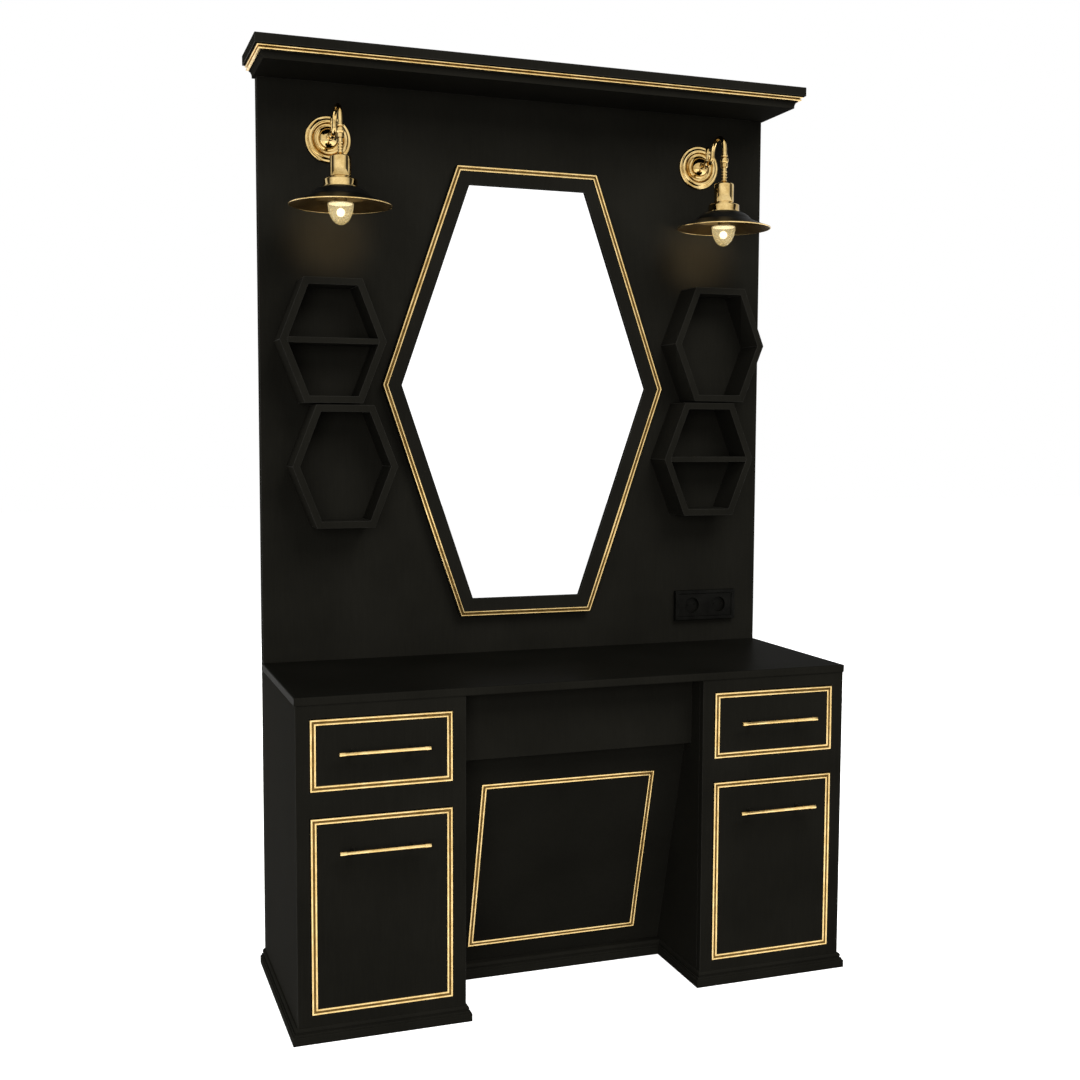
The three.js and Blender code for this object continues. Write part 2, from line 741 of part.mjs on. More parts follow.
// The head's parts are turned about one axis; heights are measured down from the ball
function lampHead(name, head) {
  const cupTop = -ballRadius - neckLength;
  const cupFoot = cupTop - cupHeight;
  const galleryFoot = cupFoot - galleryHeight;
  const capTop = cupTop - cupRoof;
  const bore = capRadius + capPlay;
  const rings = Array.from({ length: neckRings }, (_, i) => {
    const z = cupTop + (i + 1) * neckRingPitch;
    return [
      point(neckRadius, z),
      point(neckRadius + neckRing, z + neckRingHeight / 2),
      point(neckRadius, z + neckRingHeight),
    ];
  }).flat();
  const seat = ballRadius + 2 * seatGap;
  const holder = turned([
    point(bore, cupFoot),
    point(cupRadius, cupFoot),
    point(cupRadius, cupTop - cupChamfer),
    point(cupRadius - cupChamfer, cupTop),
    point(neckRadius + neckFlare, cupTop + seatGap),
    ...rings,
    point(neckRadius + swivelWall, -ballRadius - swivelDrop),
    point(neckRadius + swivelWall, -ballRadius / 2),
    point(0, -ballRadius / 2),
    point(0, capTop),
    point(bore, capTop),
    point(bore, cupFoot),
  ]);
  const socket = new THREE.SphereGeometry(seat, ballSides, ballRows);
  place(`${name}_holder`, cut(holder, socket), brass, head);
  const shoulder = cupFoot - galleryShoulder;
  const roof = shoulder - galleryWall;
  const skirt = galleryRadius - galleryWall;
  const gallery = [
    point(skirt, galleryFoot),
    point(galleryRadius, galleryFoot),
    point(galleryRadius, roof),
    point(skirt, shoulder),
    point(cupRadius + galleryCollar, shoulder),
    point(cupRadius + galleryCollar, cupFoot),
    point(bore, cupFoot),
    point(bore, roof),
    point(skirt, roof),
    point(skirt, galleryFoot),
  ];
  place(`${name}_gallery`, turned(gallery), brass, head);
  place(`${name}_shade`, shade(galleryFoot, bore), shadeBlack, head);
  const rim = galleryFoot - shadeDomeFall - shadeBrimFall;
  const bulbTop = rim - bulbReach + bulbHeight;
  const end = arc(0, 0, 1, -Math.PI / 2, 0, bendSteps).map((p) =>
    point(bulbRadius * p.x, bulbTop + bulbHeight * p.y),
  );
  end[0].x = 0;
  const bulb = [
    ...end,
    point(capRadius, bulbTop + bulbShoulder),
    point(capRadius, galleryFoot - capShow),
    point(capRadius, capTop - seatGap),
    point(0, capTop - seatGap),
  ];
  place(`${name}_bulb`, turned(bulb), bulbGlass, head);
}

// A spun shade: flat crown under the gallery, sloping dome, wide brim and rolled rim
function shade(top, bore) {
  const rimLevel = top - shadeDomeFall - shadeBrimFall;
  const spread = shadeDomeRadius - galleryRadius;
  const dome = Array.from({ length: beadSteps + 1 }, (_, i) => {
    const t = i / beadSteps;
    return point(galleryRadius + spread * t, top - shadeDomeFall * t * t);
  });
  const rimMiddle = point(shadeRadius - shadeRim, rimLevel + shadeRim);
  const rolled = arc(
    rimMiddle.x, rimMiddle.y, shadeRim, shadeRimTurn, -shadeRimTurn, beadSteps + 1);
  const outer = [point(bore, top), ...dome, ...rolled];
  const inner = dome
    .slice()
    .reverse()
    .map((p) => point(p.x - shadeSheet / 2, p.y - shadeSheet));
  return turned([...outer, ...inner, point(bore, top - shadeSheet), point(bore, top)].reverse());
}

lamp("left_lamp", leftLampEdge - half);
lamp("right_lamp", half - rightLampEdge);

export default object;
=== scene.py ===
# Looks of the salon station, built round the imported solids
import math

import bmesh
import bpy
from mathutils import Matrix, Vector


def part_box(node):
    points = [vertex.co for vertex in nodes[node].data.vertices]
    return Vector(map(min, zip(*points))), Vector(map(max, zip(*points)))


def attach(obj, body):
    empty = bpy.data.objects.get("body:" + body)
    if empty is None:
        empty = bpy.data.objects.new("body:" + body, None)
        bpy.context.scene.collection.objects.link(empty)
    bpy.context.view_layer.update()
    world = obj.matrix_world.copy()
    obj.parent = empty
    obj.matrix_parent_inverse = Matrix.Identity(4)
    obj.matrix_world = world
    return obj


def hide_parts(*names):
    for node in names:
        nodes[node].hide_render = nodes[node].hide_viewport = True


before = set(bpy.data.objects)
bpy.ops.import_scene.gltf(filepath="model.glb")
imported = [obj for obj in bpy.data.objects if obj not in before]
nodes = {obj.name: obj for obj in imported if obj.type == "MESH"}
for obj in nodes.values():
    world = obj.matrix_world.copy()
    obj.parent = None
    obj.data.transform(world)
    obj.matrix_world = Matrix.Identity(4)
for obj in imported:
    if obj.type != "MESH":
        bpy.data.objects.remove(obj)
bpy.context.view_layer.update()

scene = bpy.context.scene
mm = 0.001
toFront = Vector((0, -1, 0))
toRight = Vector((1, 0, 0))
upward = Vector((0, 0, 1))


# Shader maths

class Wire:
    # an output socket; arithmetic on it adds Math nodes
    def __init__(self, tree, socket=None):
        self.tree = tree
        self.socket = socket

    def node(self, kind, settings=None, inputs=None, output=0):
        made = self.tree.nodes.new(kind)
        for name, value in (settings or {}).items():
            setattr(made, name, value)
        for name, value in (inputs or {}).items():
            if isinstance(value, Wire):
                self.tree.links.new(value.socket, made.inputs[name])
            else:
                made.inputs[name].default_value = value
        return Wire(self.tree, made.outputs[output] if made.outputs else None)

    def math(self, operation, first, second):
        return self.node("ShaderNodeMath", {"operation": operation}, {0: first, 1: second})

    def between(self, low, high):
        # this value, taken from the range low to high and stretched to 0 to 1
        stretch = {"From Min": low, "From Max": high, "Value": self}
        return self.node("ShaderNodeMapRange", {"clamp": True}, stretch)

    def blend(self, first, second):
        return self.node("ShaderNodeMix", {"data_type": "RGBA"}, {0: self, 6: first, 7: second}, 2)

    def __add__(self, other):
        return self.math("ADD", self, other)

    def __radd__(self, other):
        return self.math("ADD", other, self)

    def __sub__(self, other):
        return self.math("SUBTRACT", self, other)

    def __rsub__(self, other):
        return self.math("SUBTRACT", other, self)

    def __mul__(self, other):
        return self.math("MULTIPLY", self, other)

    def __rmul__(self, other):
        return self.math("MULTIPLY", other, self)


def finishOf(name, pattern, **fixed):
    # pattern gives what changes over the surface, fixed what is the same all over
    made = bpy.data.materials.new(name)
    made.use_nodes = True
    made.node_tree.nodes.clear()
    wire = Wire(made.node_tree)
    place = wire.node("ShaderNodeTexCoord", output="Object")
    inputs = {key.replace("_", " "): value for key, value in fixed.items()}
    inputs.update(pattern(wire, place))
    shader = wire.node("ShaderNodeBsdfPrincipled", None, inputs)
    wire.node("ShaderNodeOutputMaterial", None, {"Surface": shader})
    return made


def noise(wire, place, scale, detail=3.0, stretch=None):
    if stretch:
        place = wire.node("ShaderNodeMapping", None, {"Vector": place, "Scale": stretch})
    return wire.node("ShaderNodeTexNoise", None, {"Vector": place, "Scale": scale, "Detail": detail})


def bumpOf(wire, height, strength, distance):
    return wire.node("ShaderNodeBump", None,
                     {"Height": height, "Strength": strength, "Distance": distance})


def heightOf(wire, place):
    return wire.node("ShaderNodeSeparateXYZ", None, {"Vector": place}, "Z")


# Black lacquer on the boards, paler along the edges as wear and a painted highlight, and painted shade on
# the counter top
lacquer = {"dark": (0.0090, 0.0085, 0.0067, 1), "light": (0.0122, 0.0115, 0.0091, 1),
           "roughness": 0.60, "peel": 0.10}
# edges: paler lacquer with more gloss, partly edge wear and partly a painted highlight
edgeWearAndHighlight = {"dark": (0.0120, 0.0113, 0.0093, 1), "light": (0.0190, 0.0180, 0.0150, 1),
              "roughness": 0.42, "peel": 0.08}
# painted shade: a darker copy of the lacquer for the counter's top face
counterTopShade = {"dark": (0.0042, 0.0040, 0.0031, 1), "light": (0.0060, 0.0057, 0.0045, 1),
                   "roughness": 0.30, "top": (0.7350, 0.7355)}
sprayed = {"cloudScale": 5.5, "grainScale": 420.0, "grainRun": (1.0, 1.0, 0.05), "peelScale": 900.0,
           "cloud": 0.65, "grain": 0.35, "contrast": (0.36, 0.64), "sheen": 0.10,
           "peelShare": 0.55, "grainShare": 0.45, "depth": 0.0004}


def lacquerPattern(tones, paintedTopShade=None):
    def pattern(wire, place):
        cloud = noise(wire, place, sprayed["cloudScale"], detail=5.0)
        grain = noise(wire, place, sprayed["grainScale"], stretch=sprayed["grainRun"])
        peel = noise(wire, place, sprayed["peelScale"], detail=2.0)
        mixed = cloud * sprayed["cloud"] + grain * sprayed["grain"]
        tone = mixed.between(*sprayed["contrast"])
        colour = tone.blend(tones["dark"], tones["light"])
        if paintedTopShade:
            # painted shade: only the upper face is darker
            onTop = heightOf(wire, place).between(*paintedTopShade["top"])
            colour = onTop.blend(colour, tone.blend(paintedTopShade["dark"], paintedTopShade["light"]))
        roughness = (paintedTopShade or tones)["roughness"]
        uneven = peel * sprayed["peelShare"] + grain * sprayed["grainShare"]
        return {
            "Base Color": colour,
            "Roughness": roughness + cloud * sprayed["sheen"] + grain * sprayed["sheen"],
            "Normal": bumpOf(wire, uneven, tones["peel"], sprayed["depth"]),
        }
    return pattern


lacquerFinish = finishOf("blackLacquer", lacquerPattern(lacquer), Specular_IOR_Level=0.002)
edgeFinish = finishOf("lacquerEdgeWearAndHighlight", lacquerPattern(edgeWearAndHighlight), Specular_IOR_Level=0.06)
counterFinish = finishOf("counterLacquer", lacquerPattern(lacquer, counterTopShade),
                         Specular_IOR_Level=0.002)

# Gold trim, its groove darkened partly as painted shade, polished brass, and the shades' inside in dark
# bronze, partly painted shade
goldTones = {"dark": (0.58, 0.39, 0.14, 1), "light": (0.80, 0.59, 0.27, 1),
             "roughness": 0.18, "wipe": 0.10, "cloudScale": 45.0, "wipeScale": 900.0}
# groove: darker gold, partly painted shade in the recess between the beads
grooveShadeTones = {"dark": (0.070, 0.040, 0.010, 1), "light": (0.150, 0.090, 0.026, 1),
               "roughness": 0.45, "wipe": 0.10, "cloudScale": 60.0, "wipeScale": 900.0}
brassTones = {"dark": (0.42, 0.27, 0.085, 1), "light": (0.78, 0.58, 0.26, 1),
              "roughness": 0.03, "wipe": 0.05, "cloudScale": 38.0, "wipeScale": 500.0}
# inside of the shades and the bulb cap: dark bronze, partly painted shade in the shade's hollow
insideShadeTones = {"dark": (0.090, 0.055, 0.019, 1), "light": (0.165, 0.106, 0.040, 1),
               "roughness": 0.36, "wipe": 0.10, "cloudScale": 30.0, "wipeScale": 420.0}
polish = {"cloud": 0.7, "wipe": 0.3, "contrast": (0.34, 0.62), "tarnish": 0.05, "bump": 0.05,
          "depth": 0.0002}


def metalPattern(tones):
    def pattern(wire, place):
        cloud = noise(wire, place, tones["cloudScale"], detail=4.0)
        wipe = noise(wire, place, tones["wipeScale"])
        tone = (cloud * polish["cloud"] + wipe * polish["wipe"]).between(*polish["contrast"])
        return {
            "Base Color": tone.blend(tones["dark"], tones["light"]),
            "Roughness": tones["roughness"] + wipe * tones["wipe"] + (1 - tone) * polish["tarnish"],
            "Normal": bumpOf(wire, wipe, polish["bump"], polish["depth"]),
        }
    return pattern


goldFinish = finishOf("paleGold", metalPattern(goldTones), Metallic=1.0)
grooveShadeFinish = finishOf("goldGroovePaintedShade", metalPattern(grooveShadeTones), Metallic=1.0)
brassFinish = finishOf("polishedBrass", metalPattern(brassTones), Metallic=1.0)
insideShadeFinish = finishOf("bronzeInsidePaintedShade", metalPattern(insideShadeTones), Metallic=1.0)

enamel = {"dark": (0.0026, 0.0026, 0.0022, 1), "light": (0.0060, 0.0056, 0.0048, 1),
          "cloudScale": 22.0, "peelScale": 320.0, "contrast": (0.35, 0.65),
          "roughness": 0.30, "sheen": 0.16, "bump": 0.06, "depth": 0.0004}


def enamelPattern(wire, place):
    cloud = noise(wire, place, enamel["cloudScale"], detail=4.0)
    peel = noise(wire, place, enamel["peelScale"], detail=2.0)
    return {
        "Base Color": cloud.between(*enamel["contrast"]).blend(enamel["dark"], enamel["light"]),
        "Roughness": enamel["roughness"] + cloud * enamel["sheen"],
        "Normal": bumpOf(wire, peel, enamel["bump"], enamel["depth"]),
    }


enamelFinish = finishOf("blackEnamel", enamelPattern, Specular_IOR_Level=0.03)

silver = {"dull": (0.985, 0.988, 0.988, 1), "bright": (1.0, 1.0, 1.0, 1), "hazeScale": 9.0,
          "contrast": (0.3, 0.7), "hazeFrom": (0.45, 0.75), "haze": 0.012}


def silverPattern(wire, place):
    haze = noise(wire, place, silver["hazeScale"])
    return {
        "Base Color": haze.between(*silver["contrast"]).blend(silver["dull"], silver["bright"]),
        "Roughness": haze.between(*silver["hazeFrom"]) * silver["haze"],
    }


silverFinish = finishOf("silveredGlass", silverPattern, Metallic=1.0)

linen = {"dark": (0.012, 0.0115, 0.0105, 1), "light": (0.026, 0.025, 0.023, 1), "threads": 900.0,
         "weftRun": (0.1, 1.0, 1.0), "warpRun": (1.0, 0.1, 0.1), "contrast": (0.35, 0.65),
         "roughness": 0.52, "sheen": 0.2, "bump": 0.25, "depth": 0.0003}


def linenPattern(wire, place):
    weft = noise(wire, place, linen["threads"], detail=2.0, stretch=linen["weftRun"])
    warp = noise(wire, place, linen["threads"], detail=2.0, stretch=linen["warpRun"])
    weave = weft * 0.5 + warp * 0.5
    return {
        "Base Color": weave.between(*linen["contrast"]).blend(linen["dark"], linen["light"]),
        "Roughness": linen["roughness"] + weave * linen["sheen"],
        "Normal": bumpOf(wire, weave, linen["bump"], linen["depth"]),
    }


boxFinish = finishOf("linenEmbossedBoard", linenPattern, Specular_IOR_Level=0.2)

socketPlastic = {"dark": (0.0022, 0.0021, 0.0016, 1), "light": (0.0044, 0.0042, 0.0034, 1),
                 "sparkScale": 1500.0, "cloudScale": 30.0, "contrast": (0.35, 0.65),
                 "roughness": 0.42, "sheen": 0.2, "bump": 0.18, "depth": 0.0002}


def plasticPattern(wire, place):
    spark = noise(wire, place, socketPlastic["sparkScale"], detail=2.0)
    cloud = noise(wire, place, socketPlastic["cloudScale"])
    tone = cloud.between(*socketPlastic["contrast"])
    return {
        "Base Color": tone.blend(socketPlastic["dark"], socketPlastic["light"]),
        "Roughness": socketPlastic["roughness"] + spark * socketPlastic["sheen"],
        "Normal": bumpOf(wire, spark, socketPlastic["bump"], socketPlastic["depth"]),
    }


plasticFinish = finishOf("blackSocketPlastic", plasticPattern, Specular_IOR_Level=0.05)

# Bulb: clear glass that glows brighter towards its top as a painted highlight, and the glowing parts inside
# it
clearGlass = {"dark": (0.50, 0.40, 0.20, 1), "light": (0.62, 0.52, 0.30, 1), "seedScale": 260.0,
              "contrast": (0.3, 0.7), "roughness": 0.10, "sheen": 0.12, "alpha": 0.42, "seedAlpha": 0.10,
              "glowFrom": (1.745, 1.795), "glowLow": (0.70, 0.54, 0.20, 1),
              "glowHigh": (1.0, 0.84, 0.48, 1)}
litParts = {"scale": 120.0, "contrast": (0.3, 0.7), "pale": (0.90, 0.84, 0.68, 1),
            "white": (1.0, 0.96, 0.85, 1)}


def clearPattern(wire, place):
    seed = noise(wire, place, clearGlass["seedScale"])
    tone = seed.between(*clearGlass["contrast"])
    # painted highlight: the glow rises towards the top of the glass
    glow = heightOf(wire, place).between(*clearGlass["glowFrom"])
    return {
        "Base Color": tone.blend(clearGlass["dark"], clearGlass["light"]),
        "Roughness": clearGlass["roughness"] + seed * clearGlass["sheen"],
        "Alpha": clearGlass["alpha"] + tone * clearGlass["seedAlpha"],
        "Emission Color": glow.blend(clearGlass["glowLow"], clearGlass["glowHigh"]),
    }


def litPattern(dim, bright):
    def pattern(wire, place):
        flicker = noise(wire, place, litParts["scale"], detail=2.0).between(*litParts["contrast"])
        return {
            "Base Color": flicker.blend(litParts["pale"], litParts["white"]),
            "Emission Color": flicker.blend(dim, bright),
        }
    return pattern


clearFinish = finishOf("clearBulbGlass", clearPattern, Emission_Strength=0.30)
coreFinish = finishOf("bulbHotSpot", litPattern((1.0, 0.82, 0.52, 1), (1.0, 0.90, 0.66, 1)),
                      Roughness=0.4, Emission_Strength=2.2)
# painted highlight: the plate's glow stands for the lit top of the bulb
plateFinish = finishOf("bulbTopPlate", litPattern((0.86, 0.72, 0.40, 1), (1.0, 0.88, 0.56, 1)),
                       Roughness=0.4, Emission_Strength=1.1)
print("finishes made")


# Solids that keep their shape: finish and eased edges
easing = {"weld": 0.00001, "segments": 2, "angle": 40.0}


def easeEdges(node, width, edge):
    weld = node.modifiers.new("weld", "WELD")
    weld.merge_threshold = easing["weld"]
    bevel = node.modifiers.new("easedEdges", "BEVEL")
    bevel.width = width * mm
    bevel.segments = easing["segments"]
    bevel.limit_method = "ANGLE"
    bevel.angle_limit = math.radians(easing["angle"])
    bevel.material = 1 if edge else -1


def dress(name, finish, edge=None, ease=0):
    node = nodes[name]
    node.data.materials.clear()
    node.data.materials.append(finish)
    if edge:
        node.data.materials.append(edge)
    if ease:
        easeEdges(node, ease, edge)


# how far the edges of each board are eased, in millimetres
boards = {
    "back_panel": 1.0, "crown_top": 1.4, "apron": 0.8, "knee_panel": 0.6, "mirror_frame": 0.9,
    "left_upper_shelf": 0.9, "left_lower_shelf": 0.9, "right_upper_shelf": 0.9, "right_lower_shelf": 0.9,
    "left_upper_shelf_board": 0.7, "right_lower_shelf_board": 0.7,
}
for side in ("left", "right"):
    for part in ("outer_side", "inner_side", "base_board", "face_frame"):
        boards[f"{side}_{part}"] = 0.7
drawers = [f"{side}_{kind}" for side in ("left", "right") for kind in ("drawer", "deep_drawer")]
for name in drawers:
    boards[f"{name}_front"] = 0.5
for name, ease in boards.items():
    dress(name, lacquerFinish, edgeFinish, ease)
for name in drawers:
    dress(f"{name}_box", boxFinish, ease=0.5)
dress("counter_top", counterFinish, ease=2.4)
dress("mirror_backing", boxFinish)
dress("mirror_glass", silverFinish)
dress("outlet_plate", plasticFinish, ease=1.6)
dress("outlet_socket", plasticFinish, ease=0.5)
print("solids dressed")


# Shaping tools; all of them work in millimetres
seamWidth = 0.002  # points closer than this are one point


def boxOf(name):
    low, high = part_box(name)
    return low / mm, high / mm


def makePiece(name, bm, body, finishes, replaced=(), smooth=38):
    bmesh.ops.scale(bm, vec=(mm, mm, mm), verts=bm.verts)
    mesh = bpy.data.meshes.new(name)
    bm.to_mesh(mesh)
    bm.free()
    for finish in finishes:
        mesh.materials.append(finish)
    mesh.shade_smooth()
    mesh.set_sharp_from_angle(angle=math.radians(smooth))
    piece = bpy.data.objects.new(name, mesh)
    scene.collection.objects.link(piece)
    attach(piece, body)
    if replaced:
        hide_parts(*replaced)
    return piece


def settle(bm, faces, finish=0):
    # closes seams and poles of a fresh shell and turns it the right way out
    verts = list({v for f in faces for v in f.verts})
    bmesh.ops.remove_doubles(bm, verts=verts, dist=seamWidth)
    shell = list({f for v in verts if v.is_valid for f in v.link_faces})
    bmesh.ops.recalc_face_normals(bm, faces=shell)
    for face in shell:
        face.material_index = finish
    return shell


def soften(bm, shell, width, angle=35, segments=2):
    limit = math.radians(angle)
    edges = {e for f in shell for e in f.edges
             if len(e.link_faces) == 2 and e.calc_face_angle(0) > limit}
    bmesh.ops.bevel(bm, geom=list(edges), offset=width, affect="EDGES", segments=segments,
                    profile=0.5, material=-1, clamp_overlap=True)


def turn(bm, profile, centre, axis, finish=0, steps=72, ease=0):
    # spins (radius, height) points about an axis through centre
    out = axis.orthogonal().normalized()
    points = [bm.verts.new(centre + out * radius + axis * height) for radius, height in profile]
    lines = [bm.edges.new(pair) for pair in zip(points, points[1:])]
    old = set(bm.faces)
    bmesh.ops.spin(bm, geom=points + lines, cent=centre, axis=axis, angle=2 * math.pi, steps=steps,
                   use_merge=True)
    shell = settle(bm, [f for f in bm.faces if f not in old], finish)
    if ease:
        soften(bm, shell, ease)
    return shell


def bow(cx, cy, rx, ry, start, end, steps):
    # points of an arc, in degrees
    angles = [math.radians(start + (end - start) * i / steps) for i in range(steps + 1)]
    return [(cx + rx * math.cos(a), cy + ry * math.sin(a)) for a in angles]


def block(bm, low, high):
    middle, size = (low + high) / 2, high - low
    bmesh.ops.create_cube(bm, size=1, matrix=Matrix.LocRotScale(middle, None, size))


def mitredRun(bm, corners, profile, rise, closed=True, finish=0):
    # lays a closed (inset, height) profile along an outline, with a mitre at each corner
    count = len(corners)
    loops = []
    for i, corner in enumerate(corners):
        inward = []
        if closed or i > 0:
            inward.append(rise.cross((corner - corners[i - 1]).normalized()))
        if closed or i < count - 1:
            inward.append(rise.cross((corners[(i + 1) % count] - corner).normalized()))
        turnIn = inward[0]
        if len(inward) == 2:
            turnIn = (inward[0] + inward[1]) / (1 + inward[0].dot(inward[1]))
        ring = [bm.verts.new(corner + turnIn * inset + rise * height) for inset, height in profile]
        loops.append([bm.edges.new((v, ring[k - 1])) for k, v in enumerate(ring)])
    faces = []
    for first, second in zip(loops, loops[1:] + (loops[:1] if closed else [])):
        faces += bmesh.ops.bridge_loops(bm, edges=first + second)["faces"]
    if not closed:
        for loop in (loops[0], loops[-1]):
            faces += bmesh.ops.edgeloop_fill(bm, edges=loop)["faces"]
    bmesh.ops.recalc_face_normals(bm, faces=faces)
    for face in faces:
        face.material_index = finish


# Gold double-bead trim: two round beads and a groove between them in darker gold, partly painted shade
beading = {"width": 12.5, "base": 1.0, "bead": 4.2, "rise": 1.7, "grooveTop": 0.7, "grooveFloor": 0.2,
           "segments": 10}
goldPair = (goldFinish, grooveShadeFinish)


def beadProfile(middle):
    half = beading["bead"] / 2
    crest = bow(middle, beading["base"], half, beading["rise"], 0, 180, beading["segments"])
    return [(middle - half, 0), (middle + half, 0)] + crest


def doubleBead(bm, corners, rise):
    half = beading["bead"] / 2
    far = beading["width"] - half
    mitredRun(bm, corners, beadProfile(half), rise)
    mitredRun(bm, corners, beadProfile(far), rise)
    low, high, lip = half * 2, far - half, beading["grooveTop"]
    groove = [(low, 0), (high, 0), (high, lip), ((low + high) / 2, beading["grooveFloor"]), (low, lip)]
    mitredRun(bm, corners, groove, rise, finish=1)


def upright(x0, z0, x1, z1, y):
    return [Vector((x, y, z)) for x, z in ((x0, z0), (x1, z0), (x1, z1), (x0, z1))]


for name in drawers:
    low, high = boxOf(f"{name}_front")
    bm = bmesh.new()
    doubleBead(bm, upright(low.x, low.z, high.x, high.z, low.y), toFront)
    makePiece(f"{name}_beading", bm, name, goldPair, (f"{name}_gold_trim",))

kneeBeading = {"half": 213.0, "foot": 41.0, "head": 472.9, "slant": 15.235, "footY": 16.0, "footZ": 34.3,
               "lift": 0.3}
slant = math.radians(kneeBeading["slant"])
slope = Vector((0, -math.sin(slant), math.cos(slant)))
facing = Vector((0, -math.cos(slant), -math.sin(slant)))
start = Vector((0, kneeBeading["footY"], kneeBeading["footZ"])) + facing * kneeBeading["lift"]
corners = [start + toRight * kneeBeading["half"] * out + slope * kneeBeading[level]
           for out, level in ((-1, "foot"), (1, "foot"), (1, "head"), (-1, "head"))]
bm = bmesh.new()
doubleBead(bm, corners, facing)
makePiece("knee_beading", bm, "cabinet", goldPair, ("knee_gold_trim",))

# corners of the mirror: half width and height
mirrorEdge = {"bottom": (171.0, 830.0), "corner": (364.0, 1394.5), "top": (180.0, 1921.0)}
face = boxOf("mirror_frame")[0].y
rightHalf = [mirrorEdge[key] for key in ("bottom", "corner", "top")]
leftHalf = [(-x, z) for x, z in reversed(rightHalf)]
outline = leftHalf[-1:] + rightHalf + leftHalf[:-1]
bm = bmesh.new()
doubleBead(bm, [Vector((x, face, z)) for x, z in outline], toFront)
makePiece("mirror_beading", bm, "cabinet", goldPair, ("mirror_gold_trim",))
print("gold beading laid")


# Crown: two stepped gold beads over a cove, wrapped round three sides
crown = {"bead": 4.0, "groove": 2.5, "grooveDepth": 1.0, "setback": 6.0, "step": 2.5, "depth": 23.7,
         "segments": 10}
cornice = {"setback": 15.0, "depth": 6.5, "fillet": 2.0, "core": 25.0, "segments": 14}
slabLow, slabHigh = boxOf("crown_top")
goldLow = boxOf("crown_gold_trim")[0].z
coveLow = boxOf("crown_cove")[0].z


def crownPath(level):
    return [Vector((x, y, level)) for x, y in ((slabLow.x, slabHigh.y), (slabLow.x, slabLow.y),
                                               (slabHigh.x, slabLow.y), (slabHigh.x, slabHigh.y))]


depth, bead = crown["depth"], crown["bead"]
radius = bead / 2
upperFoot = bead + crown["groove"]
inner = crown["setback"] + crown["step"] + radius
lower = bow(inner, radius, -radius, radius, -90, 90, crown["segments"])
upper = bow(crown["setback"] + radius, upperFoot + radius, -radius, radius, -90, 90, crown["segments"])
groove = [(inner, bead), (inner + crown["grooveDepth"], bead + crown["groove"] / 2), (inner, upperFoot)]
bm = bmesh.new()
for foot, shape, top, finish in ((0, lower, bead, 0), (upperFoot, upper, upperFoot + bead, 0),
                                 (bead, groove, upperFoot, 1)):
    mitredRun(bm, crownPath(goldLow), [(depth, foot)] + shape + [(depth, top)], upward, False, finish)
makePiece("crown_beading", bm, "cabinet", goldPair, ("crown_gold_trim",))

height = goldLow - coveLow
hollow = bow(cornice["setback"], cornice["fillet"], cornice["depth"], height - 2 * cornice["fillet"],
             0, 90, cornice["segments"])
coveProfile = [(cornice["core"], 0), (cornice["setback"] + cornice["depth"], 0)] + hollow
coveProfile += [(cornice["setback"], height), (cornice["core"], height)]
inset = Vector((cornice["core"], cornice["core"], 0))
bm = bmesh.new()
mitredRun(bm, crownPath(coveLow), coveProfile, upward, False)
block(bm, Vector((slabLow.x, slabLow.y, coveLow)) + inset,
      Vector((slabHigh.x - cornice["core"], slabHigh.y, slabLow.z)))
makePiece("crown_cornice", bm, "cabinet", (lacquerFinish,), ("crown_cove",))

# Plinth: plain band, step, quirk and ovolo, mitred round the pedestals and along the knee space
plinth = {"band": 18.0, "projection": 11.3, "ease": 1.5, "stepOut": 8.5, "step": 4.5, "quirkOut": 4.5,
          "quirk": 4.0, "ovolo": 6.0, "height": 34.0, "segments": 8, "kneeDepth": 44.0, "kneeGap": 0.3}
stepTop = plinth["band"] + plinth["step"]
quirkTop = stepTop + plinth["quirk"]


def easedCorner(out, top):
    ease = plinth["ease"]
    return bow(ease - out, top - ease, -ease, ease, 0, 90, 4)


plinthProfile = [(0, 0), (-plinth["projection"], 0)] + easedCorner(plinth["projection"], plinth["band"])
plinthProfile += [(-plinth["stepOut"], plinth["band"])] + easedCorner(plinth["stepOut"], stepTop)
plinthProfile += [(-plinth["quirkOut"], stepTop), (-plinth["quirkOut"], quirkTop)]
plinthProfile += bow(0, quirkTop, -plinth["ovolo"], plinth["height"] - quirkTop, 0, 90, plinth["segments"])
outerX = boxOf("right_outer_side")[1].x
innerX = boxOf("right_inner_side")[0].x
frontY = boxOf("left_face_frame")[0].y
backY = boxOf("back_panel")[1].y
kneeY = plinth["projection"] + boxOf("knee_plinth")[0].y
half = [(outerX, backY), (outerX, frontY), (innerX, frontY), (innerX, kneeY)]
stops = [Vector((-x, y, 0)) for x, y in half] + [Vector((x, y, 0)) for x, y in reversed(half)]


def plinthRun(cuts):
    # the whole run, without what lies beyond each cutting plane
    bm = bmesh.new()
    mitredRun(bm, stops, plinthProfile, upward, False)
    for at, away in cuts:
        cut = bmesh.ops.bisect_plane(bm, geom=bm.verts[:] + bm.edges[:] + bm.faces[:], dist=0.001,
                                     plane_co=at, plane_no=away, clear_outer=True)["geom_cut"]
        bmesh.ops.edgeloop_fill(bm, edges=[g for g in cut if isinstance(g, bmesh.types.BMEdge)])
    bmesh.ops.recalc_face_normals(bm, faces=bm.faces)
    return bm


